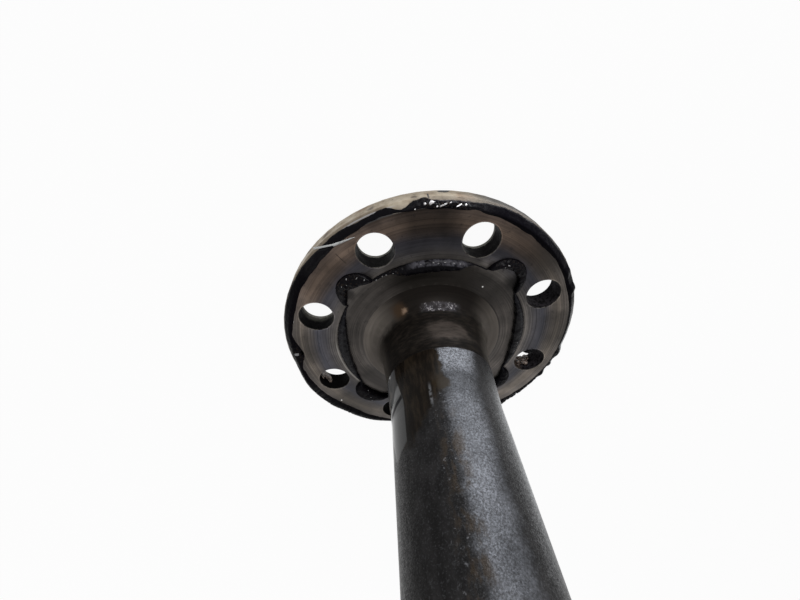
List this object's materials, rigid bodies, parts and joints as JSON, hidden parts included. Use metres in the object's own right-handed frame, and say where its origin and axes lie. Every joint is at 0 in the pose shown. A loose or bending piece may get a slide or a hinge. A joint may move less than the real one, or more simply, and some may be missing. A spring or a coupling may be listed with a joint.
{
  "type": "axle shaft",
  "caption": "Used full-floating drive axle shaft: bolt flange with scalloped black sealant residue, turned neck, as-forged round body and splined end.",
  "frame": {"origin": "centre of the flange's outboard face, on the shaft's axis", "axes": "+Z along the shaft, from the flange to the splined end; +X through the middle of a bolt hole"},
  "size_m": [0.1801, 0.1802, 1],
  "materials": {
    "steel": "turned and as-forged steel, oily and stained",
    "sealant": "cured black gasket sealant, part glossy, with grit in it"
  },
  "bodies": {
    "root": {"axle_shaft": "steel", "sealant_inner_bead": "sealant", "sealant_outer_bead": "sealant"}
  },
  "joints": []
}
